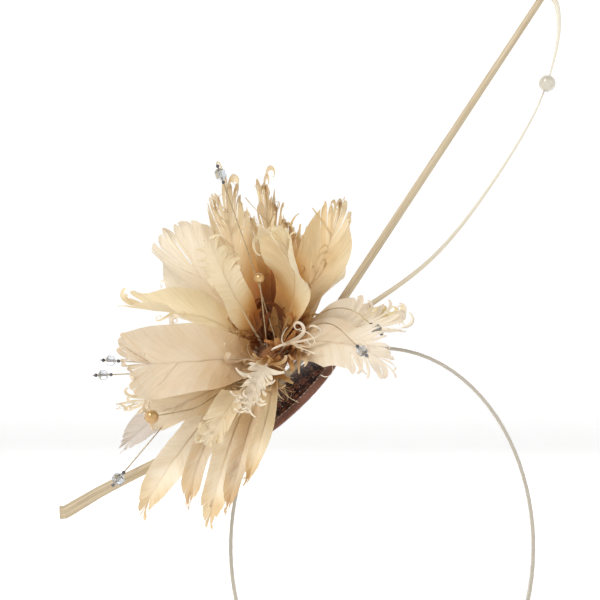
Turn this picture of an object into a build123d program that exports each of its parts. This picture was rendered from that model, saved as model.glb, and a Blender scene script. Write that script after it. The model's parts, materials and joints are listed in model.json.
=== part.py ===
from build123d import *
import math
import os
from dataclasses import dataclass

# Fascinator headpiece: a feather flower, two long quills and wired beads on a slim headband.
# Millimetres. +Z is up, +X runs along the headband's plane, -Y is the side that the flower faces.
# The origin is the middle of the headband's inner face at the crown.

# ---------------------------------------------------------------- driving dimensions
# Headband: half an upright ellipse, carried a little below its widest height
BAND_INNER_HALF_WIDTH = 76.2
BAND_INNER_HALF_HEIGHT = 100.5
BAND_THICKNESS = 1.8
BAND_WIDTH = 6.0
BAND_BELOW_WIDEST = 43.0
CORE_THICKNESS = 0.8
CORE_WIDTH = 4.5
CAP_LENGTH = 9.0
CAP_WALL = 0.5

# Base: a shallow dome whose middle lies over the headband
BASE_RADIUS = 30.0
BASE_RISE = 8.0
BASE_THICKNESS = 1.0
BASE_BAND_ANGLE = 128.0          # degrees round the ellipse from +X, where the base is sewn on
BASE_NORMAL = Vector(-0.69, -0.16, 0.705).normalized()
BASE_HEIGHT_OVER_BAND = 5.0      # headband's outer face to the top of the dome
BASE_FORWARD = 10.0              # how far the dome's middle lies in front of the headband
EDGE_WIRE_DIAMETER = 1.0
EDGE_WIRE_GAP = 0.5              # edge of the dome to the wire sewn along it
BINDING_WIDTH = 5.0
BINDING_THICKNESS = 2.6
BINDING_INSET = 0.3              # middle of the binding, inward of the dome's edge
PAD_RADIUS = 13.0
PAD_FOOT_GAP = 1.0               # the felt lies a little askew on the headband
FIT_GAP = 0.3                    # clear space between soft pieces that lie on each other
THREAD_DIAMETER = 0.6
THREAD_GAP = 0.15                # clear space between a thread and what it is wound round

# Flower centre
HUB_CENTRE = Vector(-56, -24, -4)
HUB_RADIUS = 8.0
HUB_STEM_RADIUS = 3.6
HUB_BINDING_TURNS = 3

# Feathers
FEATHER_THICKNESS = 0.7
FEATHER_ROOT_SHARE = 0.08        # width at the root as a share of the widest
FEATHER_CUP = 0.16               # how deep a feather is dished, as a share of its width
FEATHER_START = 1.0              # clear space between the hub and a feather's root
FEATHER_WIDEST = 1.3             # over 1 sets the widest place beyond the middle
FEATHER_FULLNESS = 0.9           # under 1 keeps the vane full towards its ends
SPINE_STEPS = 8
VANE_STEPS = 4

# Quills
STRAIGHT_ROOT = Vector(-38, -8, -1)
STRAIGHT_APEX = Vector(84, -12, 184)
STRAIGHT_ROOT_DIAMETER = 4.5
STRAIGHT_APEX_DIAMETER = 3.4
QUILL_TIP_DIAMETER = 0.8
QUILL_TAPER = 0.62               # under 1 thins the curved quill fastest near its cut end
QUILL_SECTIONS = 16
RETURN_SECTIONS = 6

# Beads
QUILL_PEARL_CENTRE = Vector(83, -12, 135)
QUILL_PEARL_DIAMETER = 8.6
QUILL_PEARL_BORE = 2.8
STAMEN_PEARL_DIAMETER = 5.2
GOLD_PEARL_DIAMETER = 7.0
CRYSTAL_DIAMETER = 6.0
SEED_DIAMETER = 1.8
WIRE_DIAMETER = 0.6
BEAD_BORE = 0.8
BEAD_END_GAP = 0.4               # wire left showing beyond a pearl
SEED_END_GAP = 0.6               # wire left showing beyond an outer seed bead
SEED_GAP = 0.3                   # clear space between a seed bead and its crystal
CRYSTAL_SIDES = 8
CRYSTAL_PROFILE = [(-0.5, 0.2), (-0.26, 0.5), (0.26, 0.5), (0.5, 0.2)]   # height, reach, in diameters

CURVED_CUT_DIAMETER = 6.6
CURVED_ROUTE = [                 # from the cut end, past the hub, to the pearl
    (-161.7, -30, -81.6), (-114, -29, -56), (-84, -28.5, -40), (-64, -28, -27), (-47, -28, -10.5),
    (-34, -28, 3), (-20, -27.5, 14), (-2, -26, 26.5), (17, -24, 40), (38, -21, 61.5),
    (60, -17, 92), (73, -14, 113), (82.4, -12.55, 134),
]
RETURN_ROUTE = [(87.5, -12, 176), (89, -11.8, 164), (87, -11.6, 149), (83.6, -11.45, 136)]
RETURN_WIDTH = 3.0
QUILL_STITCH_PLACES = (0.335, 0.4)   # shares of the curved quill's length
STEM_BEND_RADIUS = 20.0
CUTTER_SIZE = 400.0              # larger than the headpiece, for cutting away or keeping one side


@dataclass
class Feather:
    """One feather: where its tip is, how far its middle stands off the straight line, and its face."""
    tip: tuple
    lift: tuple
    width: float
    face: tuple


FEATHERS = {
    # to the left, from the front face backwards
    "feather_left_front": Feather((-138, -50, -12), (2, -12, 3), 38, (0.1, -1, 0.25)),
    "feather_left_upper": Feather((-131, -34, 16), (0, -2, 10), 24, (0, -0.75, 0.65)),
    "feather_left_tucked": Feather((-119, -49, 6), (0, -3, 4.5), 14, (0, -1, 0.3)),
    "feather_left_tail": Feather((-137, -34, -27), (0, 0, -3), 22, (0, -1, 0)),
    "feather_left_boat": Feather((-127, -47, -37), (0, -7, -1), 20, (0, -1, 0.2)),
    # upper left
    "feather_upper_back": Feather((-106, -4, 50), (-2, 8, 4), 36, (0.3, -1, 0.2)),
    "feather_upper_tall": Feather((-78, -12, 84), (-5, 1, 0), 28, (0.2, -1, 0)),
    "feather_upper_curl": Feather((-86, -54, 58), (-4, -6, 4), 18, (0.3, -1, 0)),
    # crown of the flower
    "feather_crown_left": Feather((-63, -6, 83), (3, 8, 2), 26, (0, -1, 0)),
    "feather_crown_front": Feather((-66, -64, 58), (14, -2, 12), 24, (-0.6, -0.8, 0.2)),
    "feather_crown_right": Feather((-49, -28, 66), (4, -2, 0), 26, (-0.2, -1, 0)),
    # upper and lower right
    "feather_right_tall": Feather((-20, 2, 74), (3, 6, 2), 30, (-0.3, -1, 0.1)),
    "feather_right_back": Feather((14, -18, 14), (0, 0, 6), 18, (0, -0.9, 0.4)),
    "feather_right_front": Feather((0, -66, -18), (4, -8, 13), 36, (0.1, -0.85, 0.5)),
    "feather_right_small": Feather((14, -42, 8), (0, -2, 8), 18, (0, -0.8, 0.6)),
    # small curled ones under the throat
    "feather_throat_spiral": Feather((-44, -70, 4), (2, 0, 4), 9, (0, -0.5, 0.9)),
    "feather_front_tuft": Feather((-70, -66, -30), (2, -8, 6), 15, (0, -1, 0.3)),
    # hanging below
    "feather_hanging_far_left": Feather((-122, -36, -86), (-6, -4, 2), 20, (0, -1, 0.1)),
    "feather_hanging_left": Feather((-96, -39, -79), (-7, -6, 4), 20, (0, -1, 0.2)),
    "feather_hanging_centre": Feather((-87, -51, -89), (-3, -10, 4), 18, (0, -1, 0.2)),
    "feather_hanging_right": Feather((-78, -57, -81), (0, -10, 4), 17, (0, -1, 0.2)),
    "feather_hanging_short": Feather((-70, -62, -68), (4, -9, 4), 14, (0, -1, 0.2)),
    "feather_hanging_curl": Feather((-92, -66, -60), (-4, -10, 2), 18, (0, -1, 0.3)),
    "feather_hanging_grey": Feather((-136, -14, -56), (-4, 6, 6), 20, (0, -1, 0.2)),
    # behind
    "feather_back_left": Feather((-112, 26, 16), (-4, 8, 8), 30, (0.3, -0.6, 0.7)),
    "feather_back_top": Feather((-80, 34, 50), (0, 8, 10), 30, (0.1, -0.8, 0.6)),
    "feather_back_right": Feather((-34, 36, 44), (6, 8, 10), 30, (-0.2, -0.8, 0.5)),
    "feather_back_low": Feather((-106, 30, -24), (-8, 8, 10), 28, (0.2, -0.3, 1)),
}


@dataclass
class Stem:
    """Wires from the flower's centre, each with one bead near its end."""
    routes: list
    bead: str
    diameter: float


STEMS = {
    "top": Stem([[(-54, -33, 6), (-66, -34, 45), (-83, -38, 93)]], "crystal", CRYSTAL_DIAMETER),
    "stamen": Stem([[(-58, -37, 2), (-62, -50, 39)]], "pearl", STAMEN_PEARL_DIAMETER),
    "left": Stem([
        [(-66, -29, -2), (-106, -42, -6), (-140, -43, -4)],
        [(-66, -29, -4), (-106, -44, -10), (-143.5, -45, -11.5)],
    ], "crystal", CRYSTAL_DIAMETER - 1),
    "lower_left": Stem([
        [(-67, -22, -8), (-104, -22, -30), (-135, -39.5, -67)],
    ], "crystal", CRYSTAL_DIAMETER),
    "gold": Stem([[(-66, -35, -10), (-92, -61, -27), (-117, -68, -31.5)]], "pearl", GOLD_PEARL_DIAMETER),
    "right": Stem([
        [(-47, -31, 2), (-24, -38, 29), (-1, -52, 8)],
        [(-49, -34, 4), (-28, -58, 17), (-9, -76, -2)],
    ], "crystal", CRYSTAL_DIAMETER - 1),
}


# ---------------------------------------------------------------- feather geometry
def feather_root(feather):
    """Point just outside the hub, on the side where the feather leaves it."""
    middle = (HUB_CENTRE + Vector(*feather.tip)) / 2 + Vector(*feather.lift) * 2
    return HUB_CENTRE + (middle - HUB_CENTRE).normalized() * (HUB_RADIUS + FEATHER_START)


def spine_point(feather, along):
    """Quadratic curve from the root to the tip, standing off the chord by the lift at its middle."""
    root, tip = feather_root(feather), Vector(*feather.tip)
    control = (root + tip) / 2 + Vector(*feather.lift) * 2
    return root * (1 - along) ** 2 + control * (2 * along * (1 - along)) + tip * along ** 2


def spine_frame(feather, along):
    """Side and face directions of the feather at a place along its spine."""
    step = 0.01
    ahead = spine_point(feather, min(along + step, 1))
    behind = spine_point(feather, max(along - step, 0))
    forward = (ahead - behind).normalized()
    face = Vector(*feather.face)
    face = (face - forward * face.dot(forward)).normalized()
    return forward.cross(face), face


def half_width(feather, along):
    if not 0 < along < 1:
        return feather.width / 2 * FEATHER_ROOT_SHARE
    swell = math.sin(math.pi * along ** FEATHER_WIDEST) ** FEATHER_FULLNESS
    return feather.width / 2 * (FEATHER_ROOT_SHARE + (1 - FEATHER_ROOT_SHARE) * swell)


def vane_point(feather, along, across):
    """Point of the dished vane: along runs 0 to 1 from root to tip, across runs -1 to 1."""
    side, face = spine_frame(feather, along)
    reach = half_width(feather, along)
    dish = face * (FEATHER_CUP * 2 * reach * across ** 2)
    return spine_point(feather, along) + side * (reach * across) + dish


def make_feather(feather):
    grid = [
        [vane_point(feather, i / SPINE_STEPS, 2 * j / VANE_STEPS - 1) for j in range(VANE_STEPS + 1)]
        for i in range(SPINE_STEPS + 1)
    ]
    surface = Face.make_surface_from_array_of_points(grid, tol=0.05, min_deg=3, max_deg=5)
    return Solid.thicken(surface, FEATHER_THICKNESS)


# ---------------------------------------------------------------- headband
def band_centre_height():
    """Height of the ellipse's centre, so that the inner face at the crown is the origin."""
    return -BAND_INNER_HALF_HEIGHT


def band_point(angle, outset):
    """Point on the headband's ellipse, outset from its inner face, at an angle from +X."""
    turn = math.radians(angle)
    return Vector(
        (BAND_INNER_HALF_WIDTH + outset) * math.cos(turn),
        0,
        band_centre_height() + (BAND_INNER_HALF_HEIGHT + outset) * math.sin(turn),
    )


def band_ring(inner_outset, outer_outset, width):
    """Arch between two ellipses, cut level below its widest place."""
    plane = Plane.XZ * Pos(0, band_centre_height(), 0)
    outer = plane * Ellipse(BAND_INNER_HALF_WIDTH + outer_outset, BAND_INNER_HALF_HEIGHT + outer_outset)
    inner = plane * Ellipse(BAND_INNER_HALF_WIDTH + inner_outset, BAND_INNER_HALF_HEIGHT + inner_outset)
    ring = extrude(outer - inner, width / 2, both=True)
    cut_height = band_centre_height() - BAND_BELOW_WIDEST
    return ring & Pos(0, 0, cut_height + CUTTER_SIZE / 2) * Box(CUTTER_SIZE, CUTTER_SIZE, CUTTER_SIZE)


def band_end_cap(side):
    """Folded ribbon over one end of the headband: side is -1 or +1."""
    sleeve = band_ring(0, BAND_THICKNESS, BAND_WIDTH)
    cover = band_ring(-CAP_WALL, BAND_THICKNESS + CAP_WALL, BAND_WIDTH + 2 * CAP_WALL)
    end_height = band_centre_height() - BAND_BELOW_WIDEST
    across = BAND_INNER_HALF_WIDTH
    reach = Pos(side * across, 0, end_height + CAP_LENGTH / 2) * Box(across, across, CAP_LENGTH)
    return (cover & reach) - sleeve


def band_joint_place():
    """Middle of the headband's outer face where the base is sewn on."""
    return band_point(BASE_BAND_ANGLE, BAND_THICKNESS)


# ---------------------------------------------------------------- base
def base_plane():
    """Plane at the top of the dome, looking outward."""
    forward = Vector(0, -BASE_FORWARD, 0)
    top = band_joint_place() + forward + BASE_NORMAL * BASE_HEIGHT_OVER_BAND
    return Plane(origin=top, z_dir=BASE_NORMAL)


def dome_radius():
    return (BASE_RADIUS ** 2 + BASE_RISE ** 2) / (2 * BASE_RISE)


def dome_ball(inset):
    """Ball whose skin is the dome's outer face, moved inward by the inset."""
    return base_plane() * Pos(0, 0, -dome_radius()) * Sphere(dome_radius() - inset)


def sinamay_base():
    shell = dome_ball(0) - dome_ball(BASE_THICKNESS)
    keep = base_plane() * Pos(0, 0, -BASE_RISE / 2) * Cylinder(BASE_RADIUS, 3 * BASE_RISE)
    return shell & keep


def rim_slope():
    """Slope of the dome at its edge, in degrees."""
    return math.degrees(math.asin(BASE_RADIUS / dome_radius()))


def rim_place(beyond):
    """Radius and height of a point on the dome's middle layer, a distance beyond its edge."""
    slope = math.radians(rim_slope())
    inward = BASE_THICKNESS / 2
    radius = BASE_RADIUS - inward * math.sin(slope) + beyond * math.cos(slope)
    height = -BASE_RISE - inward * math.cos(slope) - beyond * math.sin(slope)
    return radius, height


def base_edge_wire():
    radius, height = rim_place(EDGE_WIRE_DIAMETER / 2 + EDGE_WIRE_GAP)
    return base_plane() * Pos(0, 0, height) * Torus(radius, EDGE_WIRE_DIAMETER / 2)


def edge_binding(base, wire):
    """Bias strip folded over the dome's edge and the wire."""
    radius, height = rim_place(-BINDING_INSET)
    section = Plane.XZ * Pos(radius, height) * Rot(0, 0, -rim_slope()) * Ellipse(
        BINDING_WIDTH / 2, BINDING_THICKNESS / 2)
    ring = base_plane() * revolve(section, Axis.Z)
    return ring - base - wire


def felt_pad():
    """Felt between the headband's outer face and the underside of the dome."""
    foot = band_joint_place() + BASE_NORMAL * PAD_FOOT_GAP
    height = 2 * BASE_HEIGHT_OVER_BAND
    block = Plane(origin=foot, z_dir=BASE_NORMAL) * Pos(0, 0, height / 2) * Cylinder(PAD_RADIUS, height)
    return block & dome_ball(BASE_THICKNESS + FIT_GAP)


def band_stitches():
    """Thread loops round the headband on both sides of the felt, up to the dome."""
    nearest = PAD_RADIUS + 2.0
    apart = 2.0
    tall = BAND_THICKNESS + BASE_HEIGHT_OVER_BAND - BASE_THICKNESS - THREAD_DIAMETER
    across = BAND_WIDTH + 2 * THREAD_DIAMETER
    loops = []
    for offset in (-nearest - apart, -nearest, nearest, nearest + apart):
        angle = BASE_BAND_ANGLE - math.degrees(offset / BAND_INNER_HALF_HEIGHT)
        below = band_point(angle, -THREAD_DIAMETER / 2 - THREAD_GAP)
        outward = band_point(angle, BAND_THICKNESS) - below
        frame = Plane(origin=below, x_dir=Vector(0, 1, 0), z_dir=Vector(0, 1, 0).cross(outward))
        up = 1 if frame.y_dir.dot(outward) > 0 else -1
        path = (frame * Pos(0, up * tall / 2) * RectangleRounded(across, tall, THREAD_DIAMETER)).wire()
        profile = Plane(origin=path @ 0, z_dir=path % 0) * Circle(THREAD_DIAMETER / 2)
        loops.append(sweep(profile, path=path, transition=Transition.ROUND))
    return Compound(children=loops)


# ---------------------------------------------------------------- flower centre
def hub_axis():
    return (HUB_CENTRE - base_plane().origin).normalized()


def petal_hub():
    """Wound centre that the feather roots are tied to, on a stem that stands on the dome."""
    length = (HUB_CENTRE - base_plane().origin).length
    frame = Plane(origin=HUB_CENTRE, z_dir=hub_axis())
    stem = frame * Pos(0, 0, -length / 2) * Cylinder(HUB_STEM_RADIUS, length)
    return (frame * Sphere(HUB_RADIUS) + stem) - dome_ball(-FIT_GAP)


def hub_binding():
    """Turns of thread on the stem below the feathers."""
    frame = Plane(origin=HUB_CENTRE, z_dir=hub_axis())
    ring_radius = HUB_STEM_RADIUS + THREAD_DIAMETER / 2 + THREAD_GAP
    start = -HUB_RADIUS - THREAD_DIAMETER
    pitch = THREAD_DIAMETER + THREAD_GAP
    rings = [
        frame * Pos(0, 0, start - i * pitch) * Torus(ring_radius, THREAD_DIAMETER / 2)
        for i in range(HUB_BINDING_TURNS)
    ]
    return Compound(children=rings)


# ---------------------------------------------------------------- quills
def quill_section(point, forward, diameter):
    """Round cross-section square to the quill."""
    frame = Plane(origin=point, x_dir=Vector(0, 1, 0).cross(forward), z_dir=forward)
    return frame * Circle(diameter / 2)


def curved_quill_route():
    return Spline(*[Vector(*point) for point in CURVED_ROUTE])


def curved_quill_diameter(share):
    """Diameter at a share of the length from the cut end."""
    return CURVED_CUT_DIAMETER + (QUILL_TIP_DIAMETER - CURVED_CUT_DIAMETER) * share ** QUILL_TAPER


def curved_quill():
    """One smooth tapering shaft from the cut end to the tip in the pearl."""
    route = curved_quill_route()
    shares = [i / QUILL_SECTIONS for i in range(QUILL_SECTIONS + 1)]
    return loft([
        quill_section(route @ share, route % share, curved_quill_diameter(share)) for share in shares
    ])


def straight_quill():
    """Straight shaft, folded sharply at its top, with its thin end coming down to the pearl."""
    forward = (STRAIGHT_APEX - STRAIGHT_ROOT).normalized()
    shaft = loft([
        quill_section(STRAIGHT_ROOT, forward, STRAIGHT_ROOT_DIAMETER),
        quill_section(STRAIGHT_APEX, forward, STRAIGHT_APEX_DIAMETER),
    ])
    fold = Pos(*STRAIGHT_APEX) * Sphere(STRAIGHT_APEX_DIAMETER / 2)
    route = Spline(STRAIGHT_APEX, *[Vector(*point) for point in RETURN_ROUTE])
    sections = []
    for i in range(RETURN_SECTIONS + 1):
        share = i / RETURN_SECTIONS
        diameter = RETURN_WIDTH + (QUILL_TIP_DIAMETER - RETURN_WIDTH) * share
        sections.append(quill_section(route @ share, route % share, diameter))
    return shaft + fold + loft(sections)


def quill_pearl():
    """Bead that holds both thin ends side by side in its bore."""
    curved_run = Vector(*CURVED_ROUTE[-1]) - Vector(*CURVED_ROUTE[-2])
    between_both_ends = Vector(curved_run.X * 0.4, 0, curved_run.Z)
    bore_frame = Plane(origin=QUILL_PEARL_CENTRE, z_dir=between_both_ends)
    bore = bore_frame * Cylinder(QUILL_PEARL_BORE / 2, 2 * QUILL_PEARL_DIAMETER)
    return Pos(*QUILL_PEARL_CENTRE) * Sphere(QUILL_PEARL_DIAMETER / 2) - bore


def quill_stitches():
    """Thread loops that hold the curved quill down beside the hub."""
    route = curved_quill_route()
    loops = []
    for share in QUILL_STITCH_PLACES:
        radius = curved_quill_diameter(share) / 2 + THREAD_DIAMETER / 2 + THREAD_GAP
        frame = Plane(origin=route @ share, z_dir=route % share)
        loops.append(frame * Torus(radius, THREAD_DIAMETER / 2))
    return Compound(children=loops)


# ---------------------------------------------------------------- beads on wires
def stem_path(route):
    points = [Vector(*point) for point in route]
    if len(points) == 2:
        return Line(*points)
    return FilletPolyline(*points, radius=STEM_BEND_RADIUS)


def stem_wire(route):
    path = stem_path(route)
    profile = Plane(origin=path @ 0, z_dir=path % 0) * Circle(WIRE_DIAMETER / 2)
    return sweep(profile, path=path)


def bead_frame(route, distance):
    """Frame on the stem's last run, at a distance back from its end, along the wire."""
    end, before = Vector(*route[-1]), Vector(*route[-2])
    forward = (end - before).normalized()
    return Plane(origin=end - forward * distance, z_dir=forward)


def drilled(solid, frame):
    return solid - frame * Cylinder(BEAD_BORE / 2, 4 * CRYSTAL_DIAMETER)


def pearl_bead(route, diameter):
    frame = bead_frame(route, BEAD_END_GAP + diameter / 2)
    return drilled(frame * Sphere(diameter / 2), frame)


def crystal_bead(route, diameter):
    """Bicone bead with flat facets on each side of a faceted girdle."""
    frame = bead_frame(route, SEED_END_GAP + SEED_DIAMETER + SEED_GAP + diameter / 2)
    sections = [
        frame * Pos(0, 0, height * diameter) * RegularPolygon(reach * diameter, CRYSTAL_SIDES)
        for height, reach in CRYSTAL_PROFILE
    ]
    return drilled(loft(sections, ruled=True), frame)


def seed_beads(route, diameter):
    """One tiny round bead on each side of the crystal."""
    outer = SEED_END_GAP + SEED_DIAMETER / 2
    inner = outer + SEED_DIAMETER + 2 * SEED_GAP + diameter
    frames = [bead_frame(route, distance) for distance in (outer, inner)]
    return [drilled(frame * Sphere(SEED_DIAMETER / 2), frame) for frame in frames]


# ---------------------------------------------------------------- writing the pieces
def grouped(solids):
    return solids[0] if len(solids) == 1 else Compound(children=solids)


def stem_nodes():
    nodes = {}
    for name, stem in STEMS.items():
        nodes[f"{name}_wire"] = grouped([stem_wire(route) for route in stem.routes])
        if stem.bead == "pearl":
            nodes[f"{name}_pearl"] = grouped([pearl_bead(route, stem.diameter) for route in stem.routes])
        else:
            nodes[f"{name}_crystal"] = grouped([crystal_bead(route, stem.diameter) for route in stem.routes])
            seeds = [seed for route in stem.routes for seed in seed_beads(route, stem.diameter)]
            nodes[f"{name}_seed_beads"] = grouped(seeds)
    return nodes


def all_nodes():
    core = band_ring(
        (BAND_THICKNESS - CORE_THICKNESS) / 2, (BAND_THICKNESS + CORE_THICKNESS) / 2, CORE_WIDTH
    )
    base = sinamay_base()
    wire = base_edge_wire()
    nodes = {
        "headband_core": core,
        "headband_ribbon": band_ring(0, BAND_THICKNESS, BAND_WIDTH) - core,
        "headband_cap_left": band_end_cap(-1),
        "headband_cap_right": band_end_cap(1),
        "sinamay_base": base,
        "base_edge_wire": wire,
        "base_edge_binding": edge_binding(base, wire),
        "felt_pad": felt_pad(),
        "band_stitches": band_stitches(),
        "flower_hub": petal_hub(),
        "hub_binding": hub_binding(),
        "curved_quill": curved_quill(),
        "straight_quill": straight_quill(),
        "quill_pearl": quill_pearl(),
        "quill_stitches": quill_stitches(),
    }
    nodes.update(stem_nodes())
    nodes.update({name: make_feather(feather) for name, feather in FEATHERS.items()})
    return nodes


def main():
    os.makedirs("parts", exist_ok=True)
    for name, shape in all_nodes().items():
        shape.label = name
        export_step(shape, f"parts/{name}.step")


if __name__ == "__main__":
    main()
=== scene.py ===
import bpy
import json
import math
import random
from dataclasses import dataclass
from functools import lru_cache
import numpy as np
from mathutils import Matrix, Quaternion, Vector, noise


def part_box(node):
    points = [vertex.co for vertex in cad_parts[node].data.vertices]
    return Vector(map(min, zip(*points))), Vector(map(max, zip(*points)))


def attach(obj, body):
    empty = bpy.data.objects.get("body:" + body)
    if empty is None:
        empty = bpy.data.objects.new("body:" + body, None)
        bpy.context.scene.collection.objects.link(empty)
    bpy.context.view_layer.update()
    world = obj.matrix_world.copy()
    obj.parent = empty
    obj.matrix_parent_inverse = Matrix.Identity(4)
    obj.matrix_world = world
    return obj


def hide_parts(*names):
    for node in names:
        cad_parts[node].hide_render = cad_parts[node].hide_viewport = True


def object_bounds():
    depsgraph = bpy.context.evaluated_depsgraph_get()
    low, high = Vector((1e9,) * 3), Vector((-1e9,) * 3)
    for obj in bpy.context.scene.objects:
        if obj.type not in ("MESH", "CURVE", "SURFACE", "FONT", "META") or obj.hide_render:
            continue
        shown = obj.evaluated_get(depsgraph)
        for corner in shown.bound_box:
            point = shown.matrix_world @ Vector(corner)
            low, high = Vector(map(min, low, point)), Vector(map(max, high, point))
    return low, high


# Feather flower fascinator on a slim headband. Metres; +Z up, the flower faces -Y.

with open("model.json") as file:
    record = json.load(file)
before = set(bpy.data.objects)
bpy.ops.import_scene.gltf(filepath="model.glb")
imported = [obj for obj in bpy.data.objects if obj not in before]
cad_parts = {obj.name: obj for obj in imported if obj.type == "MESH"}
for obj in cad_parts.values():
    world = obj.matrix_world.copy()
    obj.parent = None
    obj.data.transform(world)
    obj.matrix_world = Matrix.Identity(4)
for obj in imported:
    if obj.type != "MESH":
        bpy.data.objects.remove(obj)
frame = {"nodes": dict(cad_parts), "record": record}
CAD_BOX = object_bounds()
MM = 0.001
BACK, UP = Vector((0, 1, 0)), Vector((0, 0, 1))
TUBE_SIDES = 6  # of shafts, threads and stitches

# ---- places taken from the frame
HUB_LOW, HUB_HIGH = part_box("flower_hub")
HUB_BALL_RADIUS = (HUB_HIGH.x - HUB_LOW.x) / 2
FLOWER_CENTRE = Vector((HUB_LOW.x, HUB_LOW.y, HUB_HIGH.z)) + Vector((1, 1, -1)) * HUB_BALL_RADIUS
# Painted shade: the feathers' tone is darkened to amber round this place, standing in for the shade between
# the petals
THROAT_SHADE_MIDDLE = FLOWER_CENTRE + Vector((2, 2, 20)) * MM  # deepest place between the petals, where the painted shade is darkest
THROAT_SHADE_REACH = Vector((22, 36, 46)) * MM


# ---- shared helpers
def body_of_node(node):
    bodies = frame["record"]["behaviour"]["bodies"]
    return next(body for body, members in bodies.items() if node in members)


def smooth(low, high, value):
    share = min(max((value - low) / (high - low), 0.0), 1.0)
    return share * share * (3 - 2 * share)


def read_all(items, key, width, kind):
    """One value of every vertex or edge of a mesh, as rows of numbers."""
    flat = np.empty(len(items) * width, dtype=kind)
    items.foreach_get(key, flat)
    return flat.reshape(-1, width)


@lru_cache(maxsize=None)
def node_points(node):
    return read_all(frame["nodes"][node].data.vertices, "co", 3, np.float32).astype(float)


@lru_cache(maxsize=None)
def node_edges(node):
    return read_all(frame["nodes"][node].data.edges, "vertices", 2, np.int32)


def crossing_points(node, point, normal):
    """Points where the edges of a CAD node cross a plane."""
    places, edges = node_points(node), node_edges(node)
    height = (places - np.array(point)) @ np.array(normal)
    first, second = height[edges[:, 0]], height[edges[:, 1]]
    crossing = (first < 0) != (second < 0)
    edges, first, second = edges[crossing], first[crossing], second[crossing]
    share = (first / (first - second))[:, None]
    return places[edges[:, 0]] * (1 - share) + places[edges[:, 1]] * share


def add_object(name, data):
    thing = bpy.data.objects.new(name, data)
    bpy.context.scene.collection.objects.link(thing)
    return thing


class Skin:
    """Collects vertices, faces, strand coordinates and tones, and makes one object of them."""

    def __init__(self):
        self.places, self.faces, self.coordinates, self.tones = [], [], [], []
        self.hue = 0.5

    def add(self, place, coordinate=(0, 0), tone=0.5):
        self.places.append(place)
        self.coordinates.append(coordinate)
        self.tones.append(tone)
        return len(self.places) - 1

    def grid(self, rows, closed=False):
        """Faces between rows of vertex numbers."""
        for upper, lower in zip(rows, rows[1:]):
            count = len(upper)
            for i in range(count if closed else count - 1):
                j = (i + 1) % count
                self.faces.append((upper[i], upper[j], lower[j], lower[i]))

    def closed_tube(self, rows):
        self.grid(rows, closed=True)
        self.faces.append(tuple(reversed(rows[0])))
        self.faces.append(tuple(rows[-1]))

    def build(self, name, material):
        mesh = bpy.data.meshes.new(name)
        mesh.from_pydata(self.places, [], self.faces)
        layer = mesh.uv_layers.new(name="strand")
        for loop in mesh.loops:
            layer.data[loop.index].uv = self.coordinates[loop.vertex_index]
        for key, values in (("tone", self.tones), ("hue", [self.hue] * len(self.places))):
            mesh.attributes.new(key, "FLOAT", "POINT").data.foreach_set("value", values)
        mesh.polygons.foreach_set("use_smooth", [True] * len(mesh.polygons))
        mesh.materials.append(material)
        mesh.update()
        return add_object(name, mesh)


def stand_for(thing, node):
    """The piece replaces a CAD node and rides on its body."""
    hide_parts(node)
    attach(thing, body_of_node(node))


def direction_at(centres, i):
    """Which way a list of points runs at one of them."""
    return (centres[min(i + 1, len(centres) - 1)] - centres[max(i - 1, 0)]).normalized()


def on_circle(across, over, turn):
    return across * math.cos(turn) + over * math.sin(turn)


def squared_off(value, power):
    """A sine or cosine to a power, its sign kept: with powers below 1 a circle becomes a rounded box."""
    return math.copysign(abs(value) ** power, value)


def rings_along(skin, centres, radii, sides, reference, tones, shape=lambda turn: 1, wraps=1):
    """Adds a ring of vertices round each point of a line, and returns the rings."""
    rows, length = [], 0.0
    for i, centre in enumerate(centres):
        forward = direction_at(centres, i)
        across = forward.cross(reference).normalized()
        over = across.cross(forward)
        length += (centre - centres[max(i - 1, 0)]).length
        row = []
        for k in range(sides):
            turn = math.tau * k / sides
            offset = on_circle(across, over, turn) * (radii[i] * shape(turn))
            row.append(skin.add(centre + offset, (wraps * k / sides, length / MM), tones[i]))
        rows.append(row)
    return rows


def tube(skin, centres, radii, reference, tone=0.5):
    """Adds a closed tapering tube along a line."""
    tones = [tone] * len(centres)
    skin.closed_tube(rings_along(skin, centres, radii, TUBE_SIDES, reference, tones))


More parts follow.
